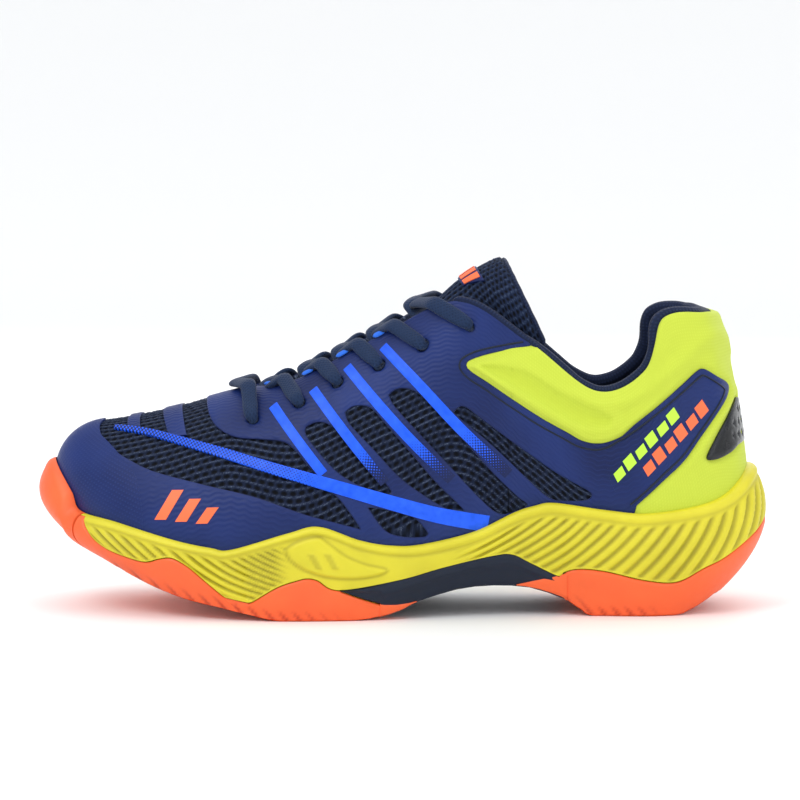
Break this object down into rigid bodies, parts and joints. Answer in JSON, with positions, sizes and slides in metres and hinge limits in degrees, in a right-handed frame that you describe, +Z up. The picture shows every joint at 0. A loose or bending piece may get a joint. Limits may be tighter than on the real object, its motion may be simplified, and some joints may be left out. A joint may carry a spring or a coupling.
{
  "type": "court shoe",
  "caption": "Low-cut court shoe for the left foot with a laced throat, padded collar and tongue, cupped foam midsole and non-slip rubber outsole.",
  "frame": {"origin": "middle of the outsole at ground level: centre of the bounding box in plan, Z = 0 on the ground", "axes": "+X from the toe towards the heel, -Y to the outer (lateral) side of this left shoe, +Z up"},
  "size_m": [0.2915, 0.0991, 0.1395],
  "materials": {
    "rubber_orange": "satin moulded gum rubber",
    "shank_dark": "satin moulded plastic",
    "foam_yellow": "matte moulded foam with fine grooves",
    "board_white": "stitched non-woven board",
    "foam_sock": "fabric-topped foam",
    "stiffener_white": "thermoplastic sheet",
    "mesh_navy": "open spacer mesh",
    "synthetic_lime": "soft moulded synthetic with a knitted texture",
    "lining_navy": "brushed knitted lining",
    "foam_collar": "open-cell foam",
    "synthetic_navy": "smooth satin film with shallow embossing",
    "print_blue": "glossy print",
    "strap_navy": "satin film",
    "clip_dark": "glossy perforated film",
    "loop_blue": "woven cord",
    "tongue_mesh": "open honeycomb mesh",
    "label_orange": "moulded patch",
    "lace_navy": "flat oval woven lace",
    "aglet_clear": "clear shrunk tube"
  },
  "bodies": {
    "shoe": {"outsole_forefoot": "rubber_orange", "outsole_heel": "rubber_orange", "toe_bumper": "rubber_orange", "shank_plate": "shank_dark", "midsole": "foam_yellow", "strobel_board": "board_white", "toe_puff": "stiffener_white", "heel_counter": "stiffener_white", "vamp_mesh": "mesh_navy", "quarter_mesh_lateral": "mesh_navy", "quarter_mesh_medial": "mesh_navy", "heel_quarter_lateral": "synthetic_lime", "heel_quarter_medial": "synthetic_lime", "vamp_lining": "lining_navy", "quarter_lining_lateral": "lining_navy", "quarter_lining_medial": "lining_navy", "collar_foam": "foam_collar", "collar_lining": "lining_navy", "collar_roll": "lining_navy", "toe_cap": "synthetic_navy", "overlay_lateral": "synthetic_navy", "overlay_medial": "synthetic_navy", "eyestay_lateral": "synthetic_navy", "eyestay_medial": "synthetic_navy", "stripes_lateral": "print_blue", "stripes_medial": "print_blue", "heel_strap_lateral": "strap_navy", "heel_strap_medial": "strap_navy", "heel_clip": "clip_dark", "lace_loops_lateral": "loop_blue", "lace_loops_medial": "loop_blue", "tongue_face": "tongue_mesh", "tongue_foam": "foam_collar", "tongue_lining": "lining_navy", "shoelace": "lace_navy", "aglets": "aglet_clear"},
    "tongue_top": {"tongue_top_face": "tongue_mesh", "tongue_top_foam": "foam_collar", "tongue_top_lining": "lining_navy", "tongue_label": "label_orange"},
    "sockliner": {"sockliner": "foam_sock"}
  },
  "joints": [
    {"name": "tongue_top_fold", "type": "hinge", "parent": "shoe", "child": "tongue_top", "pos_m": [0.0185, 0, 0.1273], "axis": [0, -1, 0], "range_deg": [0, 30], "stiffness_Nm_per_rad": 0.02},
    {"name": "sockliner_lift", "type": "hinge", "parent": "shoe", "child": "sockliner", "pos_m": [-0.123, 0, 0.03], "axis": [0, -1, 0], "range_deg": [0, 5]}
  ]
}
